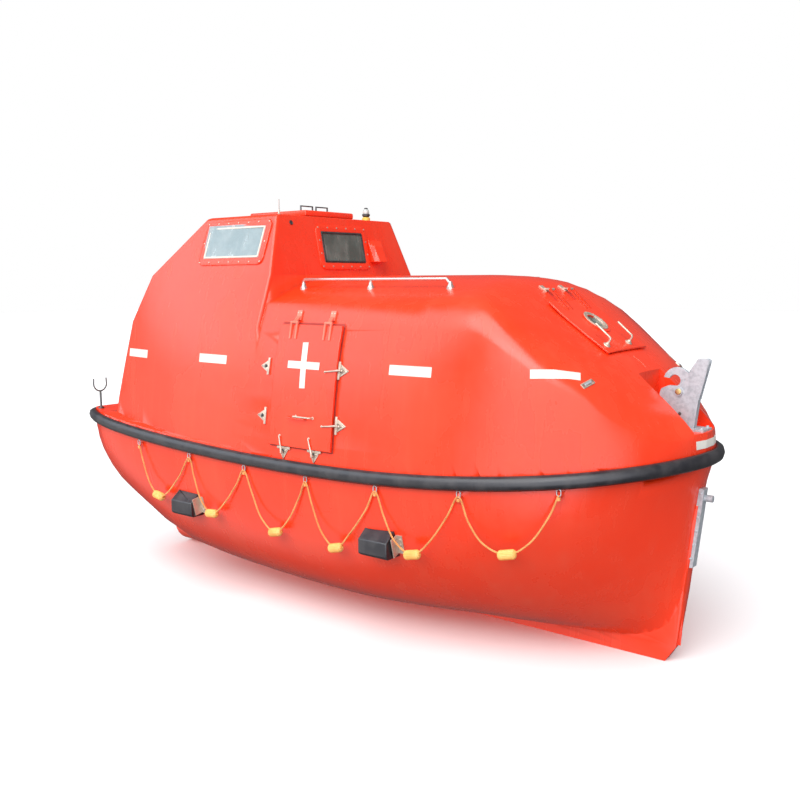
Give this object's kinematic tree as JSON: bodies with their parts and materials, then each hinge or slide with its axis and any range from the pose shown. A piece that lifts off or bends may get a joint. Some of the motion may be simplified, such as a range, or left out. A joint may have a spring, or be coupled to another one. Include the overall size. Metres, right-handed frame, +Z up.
{
  "type": "totally enclosed lifeboat",
  "caption": "Totally enclosed orange lifeboat with a raised helm tower, side, bow and roof hatches, release hooks, fender, lifelines and a steering nozzle round its propeller.",
  "frame": {"origin": "on the centreline at the waterline, halfway along the hull", "axes": "+X forward to the bow, +Y to port, +Z up"},
  "size_m": [5.0666, 2.3046, 3.01],
  "materials": {
    "orange_gelcoat": "gloss gelcoat",
    "pale_inner_gelcoat": "satin flow coat",
    "black_rubber": "matt",
    "galvanised_steel": "hot-dip galvanised",
    "stainless_steel": "polished",
    "window_glass": "clear",
    "bronze": "cast and machined",
    "orange_rope": "laid rope with plastic floats",
    "grey_engine_paint": "satin",
    "seat_foam_cover": "coated cloth",
    "lamp_plastic": "moulded"
  },
  "bodies": {
    "boat": {"hull": "orange_gelcoat", "canopy": "orange_gelcoat", "fender": "black_rubber", "window_starboard": "window_glass", "window_port": "window_glass", "window_front": "window_glass", "window_aft": "window_glass", "hinge_starboard_1": "stainless_steel", "hinge_starboard_2": "stainless_steel", "hinge_port_1": "stainless_steel", "hinge_port_2": "stainless_steel", "hinge_bow_1": "stainless_steel", "hinge_bow_2": "stainless_steel", "hinge_roof_1": "stainless_steel", "hinge_roof_2": "stainless_steel", "handrail_starboard": "stainless_steel", "handrail_port": "stainless_steel", "crutch_starboard": "galvanised_steel", "crutch_port": "galvanised_steel", "lifeline_starboard": "orange_rope", "lifeline_port": "orange_rope", "skate_aft_starboard": "black_rubber", "skate_aft_port": "black_rubber", "skate_fore_starboard": "black_rubber", "skate_fore_port": "black_rubber", "hook_frame_fore": "galvanised_steel", "hook_frame_aft": "galvanised_steel", "stern_tube": "bronze", "vent_cowl": "orange_gelcoat", "position_light": "lamp_plastic", "aerial": "stainless_steel", "stem_fitting": "galvanised_steel", "sole": "pale_inner_gelcoat", "bench_starboard": "pale_inner_gelcoat", "bench_port": "pale_inner_gelcoat", "engine": "grey_engine_paint", "helm_seat": "seat_foam_cover", "helm_console": "pale_inner_gelcoat"},
    "starboard_hatch": {"hatch_starboard": "orange_gelcoat"},
    "port_hatch": {"hatch_port": "orange_gelcoat"},
    "bow_hatch": {"hatch_bow": "orange_gelcoat", "porthole_glass": "window_glass"},
    "roof_hatch": {"hatch_roof": "orange_gelcoat"},
    "fore_hook": {"hook_fore": "galvanised_steel"},
    "aft_hook": {"hook_aft": "galvanised_steel"},
    "propeller": {"propeller": "bronze"},
    "nozzle": {"steering_nozzle": "orange_gelcoat"},
    "wheel": {"steering_wheel": "black_rubber"}
  },
  "joints": [
    {"name": "starboard_hatch_swing", "type": "hinge", "parent": "boat", "child": "starboard_hatch", "pos_m": [0, -0.962, 1.637], "axis": [-1, 0, 0], "range_deg": [0, 100]},
    {"name": "port_hatch_swing", "type": "hinge", "parent": "boat", "child": "port_hatch", "pos_m": [0, 0.962, 1.637], "axis": [1, 0, 0], "range_deg": [0, 100]},
    {"name": "bow_hatch_swing", "type": "hinge", "parent": "boat", "child": "bow_hatch", "pos_m": [1.44, 0, 1.852], "axis": [0, -1, 0], "range_deg": [0, 100]},
    {"name": "roof_hatch_swing", "type": "hinge", "parent": "boat", "child": "roof_hatch", "pos_m": [-1.24, 0, 2.425], "axis": [0, -1, 0], "range_deg": [0, 100]},
    {"name": "fore_hook_release", "type": "hinge", "parent": "boat", "child": "fore_hook", "pos_m": [2.261, 0, 1.232], "axis": [0, 1, 0], "range_deg": [0, 70]},
    {"name": "aft_hook_release", "type": "hinge", "parent": "boat", "child": "aft_hook", "pos_m": [-2.221, 0, 1.0734], "axis": [0, -1, 0], "range_deg": [0, 70]},
    {"name": "propeller_spin", "type": "hinge", "parent": "boat", "child": "propeller", "pos_m": [-2.3, 0, -0.29], "axis": [1, 0, 0], "continuous": true},
    {"name": "nozzle_steer", "type": "hinge", "parent": "boat", "child": "nozzle", "pos_m": [-2.3, 0, -0.29], "axis": [0, 0, 1], "range_deg": [-35, 35]},
    {"name": "wheel_turn", "type": "hinge", "parent": "boat", "child": "wheel", "pos_m": [-0.735, 0, 1.26], "axis": [1, 0, 0], "range_deg": [-450, 450]}
  ]
}
